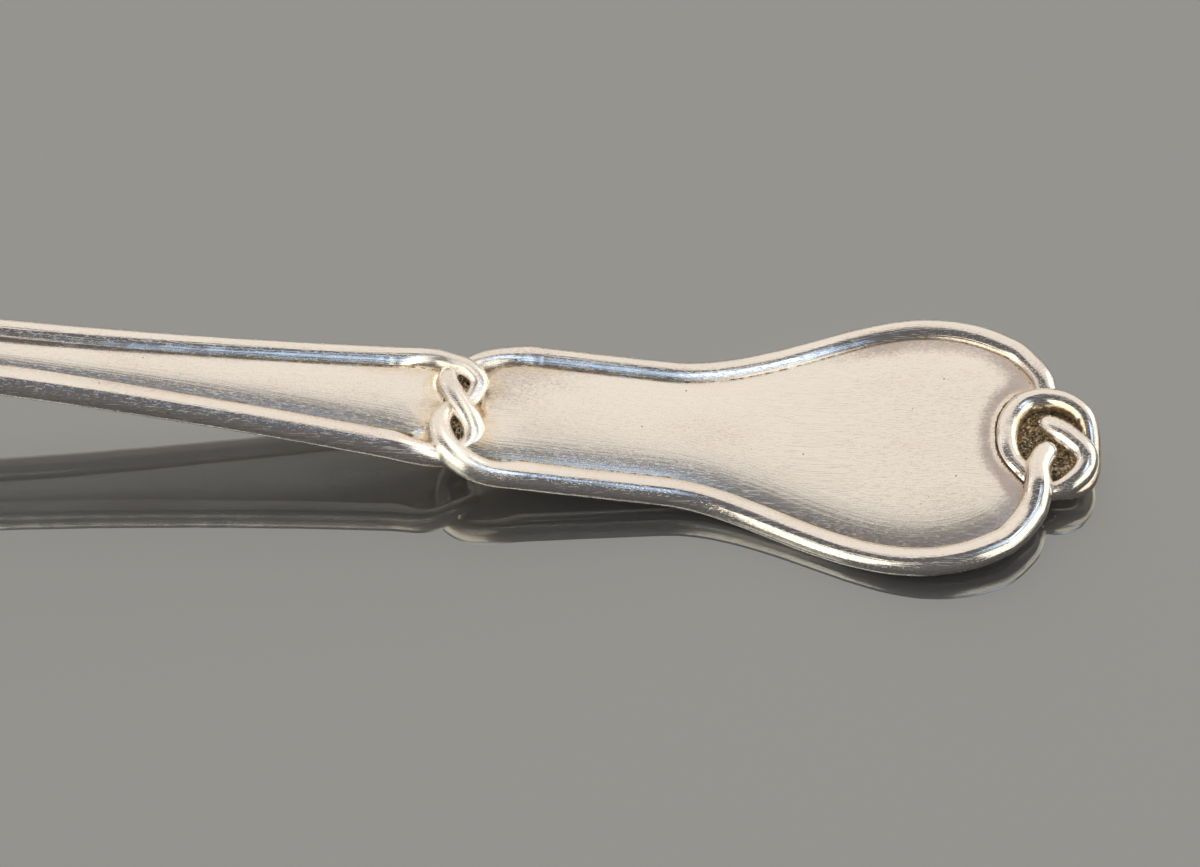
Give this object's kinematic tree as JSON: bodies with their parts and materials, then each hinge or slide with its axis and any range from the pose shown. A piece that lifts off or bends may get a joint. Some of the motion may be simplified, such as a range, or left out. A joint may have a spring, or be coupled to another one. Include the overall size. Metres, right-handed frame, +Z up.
{
  "type": "sugar sifter spoon",
  "caption": "Silver sugar sifter spoon: round pierced bowl on a flat handle edged with round cords that twist at the waist and tie in a knot at the tip.",
  "frame": {"origin": "centre of the flat under the bowl, on the surface that the spoon lies on", "axes": "+X along the handle from the bowl to the tip, +Z up out of the bowl, +Y to the left as seen from the bowl"},
  "size_m": [0.1729, 0.05, 0.0157],
  "materials": {
    "satin_silver": "satin silver with fine scratches and light tarnish",
    "polished_silver": "worn bright polish with dark tarnish in the crevices"
  },
  "bodies": {
    "root": {"sifter_bowl": "satin_silver", "bowl_drop": "satin_silver", "stem_panel": "satin_silver", "stem_cord_left": "polished_silver", "stem_cord_right": "polished_silver", "waist_strand_from_left": "polished_silver", "waist_strand_from_right": "polished_silver", "palette_panel": "satin_silver", "palette_cord_left": "polished_silver", "palette_cord_right": "polished_silver", "tip_loop": "polished_silver", "tip_hook": "polished_silver"}
  },
  "joints": []
}
